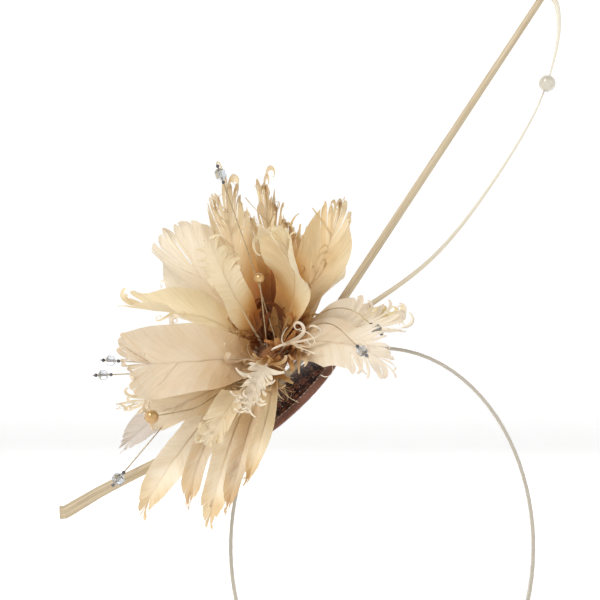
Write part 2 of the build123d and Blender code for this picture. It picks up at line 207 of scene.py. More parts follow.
# ---- material helpers
class Shader:
    """A new node material, with short calls for the nodes used here."""

    def __init__(self, name, roughness=0.5):
        self.material = bpy.data.materials.new(name)
        self.material.use_nodes = True
        self.tree = self.material.node_tree
        self.principled = self.tree.nodes["Principled BSDF"]
        self.output = self.tree.nodes["Material Output"]
        self.set("Roughness", roughness)

    def set(self, socket, value):
        self.principled.inputs[socket].default_value = value

    def node(self, kind, **settings):
        made = self.tree.nodes.new("ShaderNode" + kind)
        for key, value in settings.items():
            setattr(made, key, value)
        return made

    def feed(self, value, socket):
        """Sets a socket to a number or a colour, or links another node's output to it."""
        if isinstance(value, (int, float)):
            socket.default_value = value
        elif isinstance(value, tuple):
            socket.default_value = (*value, 1)
        else:
            self.tree.links.new(value, socket)

    def feed_colour(self, value):
        self.feed(value, self.principled.inputs["Base Color"])

    def attribute(self, name):
        return self.node("Attribute", attribute_name=name).outputs["Fac"]

    def noise(self, strand, scale, detail=3.0):
        """Noise along the strand layer, or in the object's own space."""
        texture = self.node("TexNoise")
        texture.inputs["Scale"].default_value = 1.0
        texture.inputs["Detail"].default_value = detail
        source = self.node("TexCoord")
        mapping = self.node("Mapping")
        mapping.inputs["Scale"].default_value = scale
        self.feed(source.outputs["UV" if strand else "Object"], mapping.inputs["Vector"])
        self.feed(mapping.outputs["Vector"], texture.inputs["Vector"])
        return texture.outputs["Fac"]

    def ramp(self, factor, stops):
        made = self.node("ValToRGB")
        elements = made.color_ramp.elements
        while len(elements) < len(stops):
            elements.new(0.5)
        for element, (place, colour) in zip(elements, stops):
            element.position = place
            element.color = (*colour, 1)
        self.feed(factor, made.inputs["Fac"])
        return made.outputs["Color"]

    def math(self, operation, first, second):
        made = self.node("Math", operation=operation)
        self.feed(first, made.inputs[0])
        self.feed(second, made.inputs[1])
        return made.outputs[0]

    def blend_colours(self, factor, first, second, mode="MIX"):
        made = self.node("Mix", data_type="RGBA", blend_type=mode)
        for number, value in ((0, factor), (6, first), (7, second)):
            self.feed(value, made.inputs[number])
        return made.outputs[2]

    def bump(self, height, strength, distance):
        made = self.node("Bump")
        made.inputs["Strength"].default_value = strength
        made.inputs["Distance"].default_value = distance
        self.feed(height, made.inputs["Height"])
        self.feed(made.outputs["Normal"], self.principled.inputs["Normal"])
        return made.outputs["Normal"]


def feather_material():
    """Goose vane: dark amber painted shade in the throat, ivory outside, combed along the barbs, lit through.
    """
    shader = Shader("goose_feather", roughness=0.58)
    tone = shader.attribute("tone")
    hue = shader.attribute("hue")
    cloud = shader.noise(False, (45, 45, 45), 2.0)
    shifted = shader.math("ADD", tone, shader.math("MULTIPLY", shader.math("SUBTRACT", cloud, 0.5), 0.30))
    # The ramp's dark amber end is painted shade: the tone attribute is low deep in the flower's throat
    colour = shader.ramp(shifted, [
        (0.0, (0.16, 0.046, 0.010)),
        (0.18, (0.44, 0.165, 0.035)),
        (0.38, (0.64, 0.38, 0.14)),
        (0.60, (0.80, 0.66, 0.45)),
        (0.80, (0.88, 0.80, 0.66)),
        (1.0, (0.93, 0.88, 0.79)),
    ])
    tint = shader.ramp(hue, [
        (0.0, (0.70, 0.68, 0.71)),
        (0.3, (0.93, 0.88, 0.84)),
        (0.5, (1.0, 1.0, 1.0)),
        (0.75, (1.0, 0.95, 0.78)),
        (1.0, (0.93, 0.90, 0.62)),
    ])
    colour = shader.blend_colours(1.0, colour, tint, "MULTIPLY")
    combed = shader.noise(True, (1.8, 0.06, 1), 4.0)
    lines = shader.ramp(combed, [(0.28, (0.84, 0.79, 0.72)), (0.52, (1, 1, 1)), (1.0, (1, 1, 1))])
    colour = shader.blend_colours(0.55, colour, lines, "MULTIPLY")
    shader.feed_colour(colour)
    normal = shader.bump(combed, 0.6, 0.0004)
    shader.set("Sheen Weight", 0.2)
    shader.set("Sheen Roughness", 0.4)
    through = shader.node("BsdfTranslucent")
    glow = shader.blend_colours(1.0, colour, (1.0, 0.96, 0.88), "MULTIPLY")
    shader.feed(glow, through.inputs["Color"])
    shader.feed(normal, through.inputs["Normal"])
    mixed = shader.node("MixShader")
    mixed.inputs["Fac"].default_value = 0.36
    shader.feed(shader.principled.outputs[0], mixed.inputs[1])
    shader.feed(through.outputs[0], mixed.inputs[2])
    shader.feed(mixed.outputs[0], shader.output.inputs["Surface"])
    return shader.material


def streaked_material(
        name, dark, pale, roughness, scale, strand=False, bump=0, strands_differ=0, **settings):
    """Two shades mixed by fine noise: thread, weave, ribbon, felt, metal, pearl and glass."""
    shader = Shader(name, roughness=roughness)
    streaks = shader.noise(strand, scale, 4.0)
    factor = streaks
    if strands_differ:
        tone = shader.attribute("tone")
        shift = shader.math("MULTIPLY", shader.math("SUBTRACT", tone, 0.5), strands_differ)
        factor = shader.math("ADD", streaks, shift)
    shader.feed_colour(shader.ramp(factor, [(0.3, dark), (0.7, pale)]))
    if bump:
        shader.bump(streaks, 0.6, bump)
    for socket, value in settings.items():
        shader.set(socket.replace("_", " ").title().replace("Ior", "IOR"), value)
    return shader.material


# ---- feathers
@dataclass
class Look:
    """How one feather is dressed: angles in degrees, shares of the shaft or of a barb."""
    fullness: float = 0.95  # half width over the CAD solid's
    locks: int = 17  # locks on each side
    whole: float = 0.6  # share of the shaft with an unbroken edge
    split: float = 0.5  # share of a barb where the outer locks part
    curl: float = 190.0  # how far a parted lock's end curls towards the face
    dish: float = 35.0  # how far the vane's edge is bent towards the face
    ruffle: float = 22.0  # how much that varies along the shaft
    droop: float = 0.0  # how far the end of the shaft bends towards the face
    droop_from: float = 0.6  # share of the shaft where that starts
    ringlets: int = 4  # free curled locks
    ringlet_curl: float = 460.0  # how far each one turns, shared between curling and bending
    ribbons: tuple = (0.3, 0.45, 0.8, 1.3)  # half widths of the free locks, in millimetres
    tone: float = 0.1  # how much lighter it is outside the throat
    throat: float = 1.0  # how much the painted shade of the flower's throat darkens it
    tip_tone: float = 0.0  # how much the last fifth of the shaft differs
    hue: float = 0.6  # 0 greyish, 0.5 plain, 1 yellow-green
    point: float = 0.9  # how far a parted lock narrows to its tip
    shaft: float = 0.76  # where it ends on the CAD feather; barbs run on past it
    tip_slant: float = 14.0  # degrees between barb and shaft at the tip
    vane_from: float = 0.02  # where the vane starts; 1 leaves only free curled locks
    broad_down: int = 8  # broad loose barbs at the root
    down_spread: float = 50.0  # how far from the shaft they turn
    stretch: float = 1.08  # length of a parted lock over a whole one


LOOKS = {
    "left_front": Look(
        whole=0.93, curl=110, dish=26, ruffle=12, droop=26, tone=-0.06, hue=0.3, stretch=1.0,
        tip_slant=22, throat=0.85),
    "left_upper": Look(
        whole=0.95, curl=80, droop=-15, droop_from=0.7, hue=0.72, ringlets=2, stretch=1.0, tone=0.08),
    "left_tucked": Look(
        fullness=1.2, curl=-200, droop=-30, locks=10, tone=0.3, vane_from=0.5, shaft=0.98, whole=0.5,
        stretch=1.0, dish=-50, ringlets=5, ringlet_curl=400),
    "left_tail": Look(whole=0.7, curl=120, stretch=1.0),
    "left_boat": Look(whole=0.9, curl=120, droop=30, hue=0.45, stretch=1.0, tone=-0.12, dish=20),
    "upper_back": Look(
        whole=0.97, curl=90, tone=0.05, hue=0.5, fullness=1.45, tip_slant=30, shaft=0.8, stretch=1.0),
    "upper_tall": Look(curl=240, whole=0.72, droop=30, ringlets=9, tone=0.05, fullness=1.15, shaft=0.85),
    "upper_curl": Look(
        curl=60, droop=40, droop_from=0.88, whole=0.72, split=0.15, tone=0.16, shaft=0.95,
        fullness=0.85, tip_slant=52, vane_from=0.12, locks=13, point=0.95, ribbons=(0.3, 0.45, 0.7), dish=20,
        throat=0.85, stretch=1.7, hue=0.7),
    "crown_left": Look(
        curl=250, droop=25, droop_from=0.75, ringlets=13, whole=0.7, tone=0.05, shaft=0.84, fullness=1.15),
    "crown_front": Look(
        curl=110, droop=25, droop_from=0.8, dish=40, whole=0.88, hue=0.7, tone=0.12, stretch=1.15,
        shaft=0.84, fullness=1.15, throat=0.62),
    "crown_right": Look(
        curl=240, droop=40, ringlets=10, hue=0.7, tone=0.05, fullness=1.1, whole=0.72, shaft=0.84,
        tip_slant=20),
    "right_tall": Look(
        curl=220, whole=0.88, droop=30, ringlets=10, hue=0.65, fullness=1.2, shaft=0.84, tip_slant=26,
        tone=-0.04),
    "right_back": Look(curl=120, ringlets=7, hue=0.85, whole=0.75),
    "right_front": Look(
        curl=-110, dish=-10, ruffle=16, droop=-50, droop_from=0.45, whole=0.72, split=0.45, point=0.6,
        stretch=1.1, ringlets=3, tone=0.08, hue=0.38, fullness=0.78, tip_slant=34, shaft=0.84, throat=0.7,
        broad_down=24, down_spread=95),
    "right_small": Look(curl=140, ringlets=7, fullness=1.2, hue=0.45),
    "throat_spiral": Look(
        vane_from=1.0, ringlets=8, ringlet_curl=430, ribbons=(0.5, 0.8, 1.2), fullness=4.6, droop=-60,
        droop_from=0.2, shaft=0.55, hue=0.5, throat=0.3),
    "front_tuft": Look(
        curl=45, droop=20, droop_from=0.7, whole=0.35, point=0.92, fullness=1.2, ringlets=5,
        tone=0.3, hue=0.55, shaft=0.95, vane_from=0.3, tip_slant=20, locks=18, stretch=1.15, throat=0.6,
        ruffle=10),
    "hanging_curl": Look(
        curl=170, droop=80, fullness=1.0, tone=0.12, hue=0.65, shaft=0.95, vane_from=0.3, tip_slant=24,
        dish=40, ringlets=6),
    "hanging_grey": Look(
        whole=0.98, curl=15, ringlets=0, hue=0.0, ruffle=8, stretch=1.0, tip_slant=34, shaft=0.86,
        fullness=0.8),
}
for place, hue in (("far_left", 0.5), ("left", 0.35), ("centre", 0.55), ("right", 0.3), ("short", 0.6)):
    LOOKS["hanging_" + place] = Look(
        fullness=0.85, whole=0.98, split=0.8, curl=30, dish=50, ruffle=20, point=0.2, stretch=1.0,
        ringlets=1, hue=hue, tone=-0.03, tip_tone=-0.22, shaft=0.9, tip_slant=36)
for place in ("left", "top", "right", "low"):
    LOOKS["back_" + place] = Look(
        curl=180, droop=40, ringlets=6, hue=0.55, fullness=1.2, whole=0.82, tip_slant=20)

STATIONS = 12
SHAFT_STEPS = 60
BARB_STEPS = 20
BARBS_PER_LOCK = 7
LOCK_PLACES = [2 * i / (BARBS_PER_LOCK - 1) - 1 for i in range(BARBS_PER_LOCK)]  # across a lock, -1 to 1
ROOT_SLANT = 58.0  # degrees between barb and shaft at the root
BARB_LEAN = 12.0  # how far each barb bends towards the tip
RINGLET_STEPS = 40
DOWN_BARBS = 30  # loose barbs at each feather's root, the first ones broad
SHAFT_ROOT_RADIUS = 0.8 * MM
SHAFT_TIP_RADIUS = 0.16 * MM
CROWDING = 0.72  # below 1, the locks get narrower towards the tip
PALE_TONE = 0.7  # tone of a feather that the throat's painted shade doesn't darken
UNPARTED = 0.97  # share of a barb up to which a whole lock stays together
LOOSENING = 0.12  # share of the shaft over which the locks come loose
END_REACH = 1.2 * MM  # how near a feather's end its points are averaged
FEATHER = feather_material()


def feather_stations(node):
    """Middle, half width, side and face directions at places along a CAD feather."""
    places = node_points(node)
    distance = np.linalg.norm(places - np.array(FLOWER_CENTRE), axis=1)
    root = Vector(places[distance < distance.min() + END_REACH].mean(axis=0))
    tip = Vector(places[distance > distance.max() - END_REACH].mean(axis=0))
    chord = (tip - root).normalized()
    found = []
    for i in range(1, STATIONS):
        points = crossing_points(node, root.lerp(tip, i / STATIONS), chord)
        gaps = np.linalg.norm(points[:, None] - points[None], axis=2)
        first, second = np.unravel_index(gaps.argmax(), gaps.shape)
        edge_a, edge_b = Vector(points[first]), Vector(points[second])
        across = (edge_b - edge_a).normalized()
        share = (points - points[first]) @ np.array(across) / gaps.max()
        centre = Vector(points[np.abs(share - 0.5) < 0.12].mean(axis=0))
        if found and across.dot(found[-1][2]) < 0:
            across.negate()
        found.append([centre, gaps.max() / 2, across, (edge_a + edge_b) / 2 - centre])
    widest = max(found, key=lambda entry: entry[1])
    for entry in found:
        face = entry[3] if entry[1] > 0.55 * widest[1] else widest[3]
        entry[3] = (face - entry[2] * face.dot(entry[2])).normalized()
    first, last = found[0], found[-1]
    return [[root, *first[1:]]] + found + [[tip, *last[1:]]]


def shaft_frames(node, look):
    """Evenly spaced frames along the shaft: place, forward, side, face. Its end bends as the look says."""
    stations = feather_stations(node)
    knots = [entry[0] for entry in stations]
    frames = []
    length = sum((b - a).length for a, b in zip(knots, knots[1:])) * look.shaft
    step = length / SHAFT_STEPS
    for i in range(SHAFT_STEPS + 1):
        share = i / SHAFT_STEPS
        where = share * look.shaft * (len(knots) - 1)
        k = min(int(where), len(knots) - 2)
        part = where - k
        place = knots[k].lerp(knots[k + 1], part)
        side = stations[k][2].lerp(stations[k + 1][2], part)
        face = stations[k][3].lerp(stations[k + 1][3], part)
        before = knots[max(k - 1, 0)]
        after = knots[min(k + 2, len(knots) - 1)]
        leaving = (knots[k + 1] - before).normalized()
        forward = leaving.lerp((after - knots[k]).normalized(), part).normalized()
        if share > look.droop_from and look.droop:
            last_place, last_forward, last_side, last_face = frames[-1]
            bent_share = 1 - look.droop_from
            through = (share - look.droop_from) / bent_share
            turn = math.radians(look.droop) * 2 * through / (SHAFT_STEPS * bent_share)
            forward = (last_forward + last_face * turn).normalized()
            face, side = last_face, last_side
            place = last_place + forward * step
        side = (side - forward * side.dot(forward)).normalized()
        face = (face - forward * face.dot(forward) - side * face.dot(side)).normalized()
        frames.append((place, forward, side, face))
    return frames, max(entry[1] for entry in stations), length


def frame_at(frames, share):
    where = min(max(share, 0.0), 1.0) * (len(frames) - 1)
    k = min(int(where), len(frames) - 2)
    return tuple(a.lerp(b, where - k) for a, b in zip(frames[k], frames[k + 1]))


def barb_line(frames, share, sign, length, slant, dish, curl, drift, start_curl, roll=0.0, steps=BARB_STEPS):
    """Marches one barb from the shaft: returns its places, directions and normals."""
    place, forward, side, face = frame_at(frames, share)
    slant_angle = math.radians(slant)
    heading = (forward * math.cos(slant_angle) + side * (sign * math.sin(slant_angle))).normalized()
    normal = (face - heading * face.dot(heading)).normalized()
    if roll:
        normal = Quaternion(heading, math.radians(roll)) @ normal
    step = length / steps
    line = [(place, heading, normal)]
    for k in range(steps):
        through = (k + 0.5) / steps
        late = max(through - start_curl, 0) / (1 - start_curl)
        lift = math.radians(dish + curl * 2 * late / (1 - start_curl)) / steps
        lean = math.radians(BARB_LEAN + drift * 2 * late / (1 - start_curl)) / steps
        inward = normal.cross(heading) * -sign
        heading = (heading + normal * lift + inward * lean).normalized()
        normal = (normal - heading * normal.dot(heading)).normalized()
        place = place + heading * step
        line.append((place, heading, normal))
    return line


def tone_with_throat_shade(place, shift, throat):
    """Painted shade: dark inside the flower's throat, where the petals shade each other, pale outside it."""
    away = place - THROAT_SHADE_MIDDLE
    depth = Vector([away[i] / THROAT_SHADE_REACH[i] for i in range(3)]).length
    tone = 0.06 + 0.56 * smooth(0.3, 1.25, depth) + 0.22 * smooth(1.1, 2.6, depth)
    tone += (1 - throat) * max(PALE_TONE - tone, 0.0)
    tone += shift * smooth(0.8 * throat, 1.5 * throat + 0.1, depth)
    return min(max(tone, 0.0), 1.0)


def lock_cuts(count, start, rng):
    """Uneven cuts along the shaft, between the locks."""
    cuts = [0.0]
    for i in range(count):
        cuts.append(cuts[-1] + rng.uniform(0.5, 1.5))
    return [start + (1 - start) * (cut / cuts[-1]) ** CROWDING for cut in cuts]


def barb_slant(look, share):
    """Angle between barb and shaft, in degrees."""
    return ROOT_SLANT + (look.tip_slant - ROOT_SLANT) * share ** 0.6


def barb_length(look, share, half_width):
    """Length of a barb whose end lies on the vane's outline."""
    outline = (0.5 + 0.5 * smooth(0.0, 0.35, share)) * (1 - 0.30 * smooth(0.55, 1.0, share))
    return half_width * outline / math.sin(math.radians(barb_slant(look, share) + BARB_LEAN / 2))


def add_vane(skin, frames, width, length, look, sign, rng):
    """One side of the feather: an even edge low down, and parted curling locks at the tip."""
    cuts = lock_cuts(look.locks, look.vane_from, rng)
    phase = rng.uniform(0, math.tau)
    for low, high in zip(cuts, cuts[1:]):
        loose = smooth(look.whole - LOOSENING, look.whole + LOOSENING, high)
        split = UNPARTED + (look.split * rng.uniform(0.8, 1.25) - UNPARTED) * loose
        split = min(max(split, 0.2), UNPARTED)
        curl = look.curl * rng.uniform(0.6, 1.5) * loose
        curl *= 1 if rng.random() < 0.85 else -0.7
        stretch = 1 + (look.stretch * rng.uniform(0.9, 1.15) - 1) * loose
        drift = rng.uniform(-110, 110) * loose
        roll = rng.uniform(-25, 25) * loose
        shade = rng.uniform(-0.04, 0.04)
        shares = [(low + high) / 2 + across * (high - low) / 2 for across in LOCK_PLACES]
        lines = []
        for across, share in zip(LOCK_PLACES, shares):
            barb = barb_length(look, share, width * look.fullness) * stretch
            barb *= 1 - (0.16 * abs(across) ** 1.5 + rng.uniform(0, 0.05)) * loose
            slant = barb_slant(look, share) * (1 - 0.88 * smooth(0.82, 1.0, share))
            dish = look.dish + look.ruffle * math.sin(phase + share * 11)
            lines.append(barb_line(
                frames, share, sign, barb, slant, dish, curl, drift, min(split, 0.8), roll))
        centre = lines[BARBS_PER_LOCK // 2]
        rows = []
        for across, share, line in zip(LOCK_PLACES, shares, lines):
            row = []
            for k, (place, heading, normal) in enumerate(line):
                through = k / BARB_STEPS
                narrow = look.point * smooth(split, 1.0, through) * loose
                gathered = place.lerp(centre[k][0], narrow)
                ridge = (0.15 + 0.5 * loose) * MM * (1 - across * across) * smooth(0.2, 0.7, through)
                point = gathered - normal * ridge
                coordinate = (share * length / MM, through * barb / MM)
                shift = look.tone + shade + look.tip_tone * smooth(0.8, 1.0, share + 0.15 * through)
                row.append(skin.add(point, coordinate, tone_with_throat_shade(point, shift, look.throat)))
            rows.append(row)
        skin.grid(rows)


def add_strand(skin, line, half_width, look, throat):
    """Ribbon along a marched line, a little folded, narrowing to its tip."""
    fold = 0.3
    rows = []
    for k, (place, heading, normal) in enumerate(line):
        half = half_width * (1 - 0.75 * (k / len(line)) ** 1.5)
        across = heading.cross(normal) * half
        tone = tone_with_throat_shade(place, look.tone + 0.05, throat)
        rows.append([
            skin.add(place + across * i - normal * (half * fold * (1 - abs(i))), (i + 0.5, k), tone)
            for i in (-1, 0, 1)
        ])
    skin.grid(rows)


def add_ringlet(skin, frames, width, look, rng):
    """One free curled lock, from a thread to a narrow ribbon."""
    share = rng.uniform(0.35, 1.0)
    barb = width * look.fullness * rng.uniform(0.9, 1.8)
    turned = look.ringlet_curl * rng.uniform(0.5, 1.4) * rng.choice((1, 1, -1))
    flat = rng.uniform(0.1, 0.9)
    line = barb_line(
        frames, share, rng.choice((-1, 1)), barb, rng.uniform(10, 55), 20, turned * (1 - flat), turned * flat,
        rng.uniform(0.2, 0.5), rng.uniform(-60, 60), RINGLET_STEPS)
    add_strand(skin, line, rng.choice(look.ribbons) * MM, look, look.throat)


def add_down(skin, frames, look, rng):
    """Loose barbs at the root, which fill the flower's throat."""
    for i in range(DOWN_BARBS):
        broad = i < look.broad_down
        line = barb_line(
            frames, rng.uniform(0, 0.2), rng.choice((-1, 1)), rng.uniform(8, 20) * MM,
            rng.uniform(10, look.down_spread) if broad else rng.uniform(20, 85), rng.uniform(-20, 60),
            rng.uniform(0, 90) if broad else rng.uniform(-160, 160), rng.uniform(-60, 60),
            0.4, rng.uniform(-60, 60) if broad else rng.uniform(-180, 180))
        half_width = rng.uniform(1.4, 2.4) if broad else rng.uniform(0.15, 0.35)
        # the loose barbs at the root take the throat's full painted shade
        add_strand(skin, line, half_width * MM, look, 1.0)


def make_feather(node, number):
    look = LOOKS[node.removeprefix("feather_")]
    rng = random.Random(number * 17 + 3)
    frames, width, length = shaft_frames(node, look)
    skin = Skin()
    skin.hue = look.hue
    for sign in (-1, 1) if look.vane_from < 1 else ():
        add_vane(skin, frames, width, length, look, sign, rng)
    for i in range(look.ringlets):
        add_ringlet(skin, frames, width, look, rng)
    add_down(skin, frames, look, rng)
    centres = [place - face * (0.3 * MM) for place, forward, side, face in frames]
    taper = SHAFT_TIP_RADIUS - SHAFT_ROOT_RADIUS
    radii = [SHAFT_ROOT_RADIUS + taper * (i / SHAFT_STEPS) for i in range(SHAFT_STEPS + 1)]
    middle = SHAFT_STEPS // 2
    shaft_tone = tone_with_throat_shade(centres[middle], look.tone, look.throat) - 0.05
    tube(skin, centres, radii, frames[middle][3], shaft_tone)
    stand_for(skin.build(node + "_plume", FEATHER), node)


for number, node in enumerate(sorted(name for name in frame["nodes"] if name.startswith("feather_"))):
    make_feather(node, number)


# ---- quills
def quill_material():
    """Stripped shaft: horny, tan, streaked along its length, a soft gloss."""
    shader = Shader("stripped_quill", roughness=0.42)
    streaks = shader.noise(True, (9, 0.02, 1), 5.0)
    cloud = shader.noise(False, (30, 30, 30), 2.0)
    colour = shader.ramp(streaks, [
        (0.25, (0.33, 0.24, 0.14)),
        (0.45, (0.52, 0.42, 0.27)),
        (0.62, (0.62, 0.53, 0.37)),
        (0.85, (0.72, 0.65, 0.50)),
    ])
    worn = shader.ramp(cloud, [(0.3, (0.86, 0.82, 0.78)), (0.7, (1, 1, 1))])
    colour = shader.blend_colours(0.9, colour, worn, "MULTIPLY")
    thin = shader.attribute("tone")
    colour = shader.blend_colours(thin, colour, (0.80, 0.77, 0.66))
    shader.feed_colour(colour)
    shader.bump(streaks, 0.5, 0.0003)
    shader.set("Coat Weight", 0.25)
    shader.set("Coat Roughness", 0.3)
    return shader.material


QUILL_SIDES = 20
GROOVE_DEPTH = 0.30  # share of the radius
GROOVE_SPREAD = 0.42  # radians round the shaft
SHAFT_GAP = 2.0 * MM  # points farther apart than this in X lie on different shafts
STUMP_HALF_WIDTH = 0.12 * MM
STUMP_SPACING = 2.2 * MM


def quill_slices(node, planes, choose=0):
    """Middle and radius of one of the node's shafts at a list of cutting planes."""
    centres, radii = [], []
    for point, normal in planes:
        points = crossing_points(node, point, normal)
        points = points[points[:, 0].argsort()]
        steps = np.diff(points[:, 0])
        breaks = [0, *(np.where(steps > SHAFT_GAP)[0] + 1), len(points)]
        group = points[breaks[choose]:breaks[choose + 1]]
        low, high = group.min(axis=0), group.max(axis=0)
        centres.append(Vector((low + high) / 2))
        radii.append((high[1] - low[1]) / 2)
    return centres, radii


def grooved_shaft(skin, centres, radii, groove_side, paleness):
    """Shaft with a shallow groove along one side: adds its rings and returns them."""
    def dent(turn):
        apart = math.atan2(math.sin(turn - groove_side), math.cos(turn - groove_side))
        return 1 - GROOVE_DEPTH * math.exp(-(apart / GROOVE_SPREAD) ** 2) + 0.05 * math.cos(4 * turn)

    rows = rings_along(skin, centres, radii, QUILL_SIDES, BACK, paleness, dent, wraps=3)
    skin.grid(rows, closed=True)
    return rows


def hollow_end(skin, ring, centres, wall, depth):
    """Cut end of the shaft: an annular face and a shallow pit."""
    centre = centres[0]
    forward = (centres[1] - centre).normalized()
    inner = [skin.add(centre.lerp(skin.places[n], wall), (0, 0), 0.2) for n in ring]
    pit = [skin.add(skin.places[n] + forward * depth, (0, 6), 0.0) for n in inner]
    skin.grid([pit, inner, ring], closed=True)
    skin.faces.append(tuple(reversed(pit)))


def barb_stubble(skin, centres, radii, rng):
    """Short stumps left along both edges where the barbs were stripped."""
    for start, end, radius in zip(centres, centres[1:], radii):
        forward = (end - start).normalized()
        across = forward.cross(BACK).normalized()
        count = max(int((end - start).length / STUMP_SPACING), 1)
        for i in range(count):
            foot = start.lerp(end, rng.random())
            for sign in (-1, 1):
                if rng.random() < 0.45:
                    continue
                root = foot + across * (sign * radius * 0.93) + BACK * (rng.uniform(-0.3, 0.3) * radius)
                tip = root + (across * sign * 0.55 + forward).normalized() * rng.uniform(0.3, 0.9) * MM
                half = forward * STUMP_HALF_WIDTH
                skin.faces.append(tuple(skin.add(corner) for corner in (root - half, root + half, tip)))


def cutting_planes(axis, start, rise, cuts):
    """Planes across an axis, from one place on it over a rise that may be negative."""
    return [(axis * (start + rise * i / cuts), axis) for i in range(cuts + 1)]


def make_curved_quill():
    low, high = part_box("curved_quill")
    cuts = 90
    cut_end, both_ends = 2.2 * MM, 3.4 * MM  # left off before the first cut, and in all
    planes = cutting_planes(Vector((1, 0, 0)), low.x + cut_end, high.x - low.x - both_ends, cuts)
    centres, radii = quill_slices("curved_quill", planes)
    skin = Skin()
    paleness = [0.7 * smooth(0.55, 0.95, i / cuts) for i in range(cuts + 1)]
    rows = grooved_shaft(skin, centres, radii, -1.9, paleness)
    hollow_end(skin, rows[0], centres, wall=0.55, depth=6 * MM)
    skin.faces.append(tuple(rows[-1]))
    bare = 6  # stations without stubble at the cut end
    barb_stubble(skin, centres[bare:], radii[bare:], random.Random(5))
    stand_for(skin.build("curved_quill_shaft", QUILL), "curved_quill")


def make_straight_quill():
    """The main shaft and its folded-back end, joined by a creased bend."""
    low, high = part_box("straight_quill")
    apex_height = high.z - 1.7 * MM  # middle of the shaft where it turns over
    rising = cutting_planes(UP, low.z + 4 * MM, apex_height - low.z - 10 * MM, 40)
    shaft, shaft_radii = quill_slices("straight_quill", rising)
    strip_top = apex_height - 9 * MM
    strip_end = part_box("quill_pearl")[0].z + 5.2 * MM
    falling = cutting_planes(UP, strip_top, strip_end - strip_top, 24)
    strip, strip_radii = quill_slices("straight_quill", falling, choose=1)
    skin = Skin()
    rows = grooved_shaft(skin, shaft, shaft_radii, 0.35, [0.0] * len(shaft))
    hollow_end(skin, rows[0], shaft, wall=0.5, depth=3 * MM)
    start, end = shaft[-1], strip[0]
    peak = Vector((start.x + 2.2 * MM, (start.y + end.y) / 2, high.z - 0.6 * MM))
    bend, bend_radii, steps = [], [], 12
    for i in range(1, steps):
        share = i / steps
        bend.append(start.lerp(peak, share).lerp(peak.lerp(end, share), share))
        bend_radii.append(shaft_radii[-1] + (strip_radii[0] - shaft_radii[-1]) * i / steps)
    pale_by = 14  # rings over which the folded end pales
    paleness = [0.85 * smooth(0, pale_by, i) for i in range(len(bend + strip))]
    fold = grooved_shaft(skin, bend + strip, bend_radii + strip_radii, -1.4, paleness)
    skin.grid([rows[-1], fold[0]], closed=True)
    skin.faces.append(tuple(fold[-1]))
    barb_stubble(skin, shaft, shaft_radii, random.Random(6))
    stand_for(skin.build("straight_quill_shaft", QUILL), "straight_quill")


QUILL = quill_material()
make_curved_quill()
make_straight_quill()


# ---- dome, binding and felt
THREAD = streaked_material(
    "sewing_thread", (0.46, 0.36, 0.22), (0.72, 0.62, 0.44), 0.7, (900, 900, 2600), False, 0.0001,
    sheen_weight=0.3)
# Painted shade: the sinamay's warm brown is darkened to brown-maroon for the shade it lies in under the
# petals
SINAMAY = streaked_material(
    "brown_sinamay_painted_shade", (0.022, 0.008, 0.006), (0.21, 0.075, 0.040), 0.62, (6, 0.12, 1), True, 0.0002,
    strands_differ=0.8, specular_ior_level=0.25)
BINDING = streaked_material(
    "bias_strip", (0.09, 0.032, 0.02), (0.22, 0.085, 0.05), 0.8, (2.2, 2.2, 1), True, 0.0003,
    sheen_weight=0.35)
FELT = streaked_material(
    "pressed_felt", (0.020, 0.012, 0.010), (0.075, 0.045, 0.035), 0.95, (700, 700, 700), False, 0.0004,
    sheen_weight=0.6)
WOUND_THREAD = streaked_material(
    "wound_cotton", (0.16, 0.055, 0.015), (0.42, 0.19, 0.06), 0.8, (4, 0.4, 1), True, 0.0002,
    sheen_weight=0.3)
WEAVE_PITCH = 1.6 * MM
STRAND_HALF_WIDTH = 0.67 * MM
WEAVE_RISE = 0.26 * MM
STRAND_CROWN = 0.05 * MM  # how far a strand's edges lie below its middle


def dome_shape():
    """Centre and radius of the dome's ball, and the direction its top faces, from the CAD node."""
    points = node_points("sinamay_base")
    table = np.column_stack([2 * points, np.ones(len(points))])
    answer = np.linalg.lstsq(table, (points ** 2).sum(axis=1), rcond=None)[0]
    centre = Vector(answer[:3])
    radius = math.sqrt(answer[3] + centre.length_squared)
    return centre, radius, (RIM_CENTRE - centre).normalized()


RIM_CENTRE = Vector(node_points("base_edge_wire").mean(axis=0))
RIM_RADIUS = float(np.linalg.norm(node_points("base_edge_wire") - np.array(RIM_CENTRE), axis=1).mean())
DOME_CENTRE, DOME_RADIUS, DOME_AXIS = dome_shape()
DOME_ACROSS = DOME_AXIS.cross(BACK).normalized()
DOME_ALONG = DOME_AXIS.cross(DOME_ACROSS)


def dome_place(u, v, rise):
    """Point over the dome at two distances from its axis, lifted off its middle layer."""
    height = math.sqrt(DOME_RADIUS ** 2 - u * u - v * v)
    outward = (DOME_ACROSS * u + DOME_ALONG * v + DOME_AXIS * height) / DOME_RADIUS
    return DOME_CENTRE + outward * (DOME_RADIUS + rise)


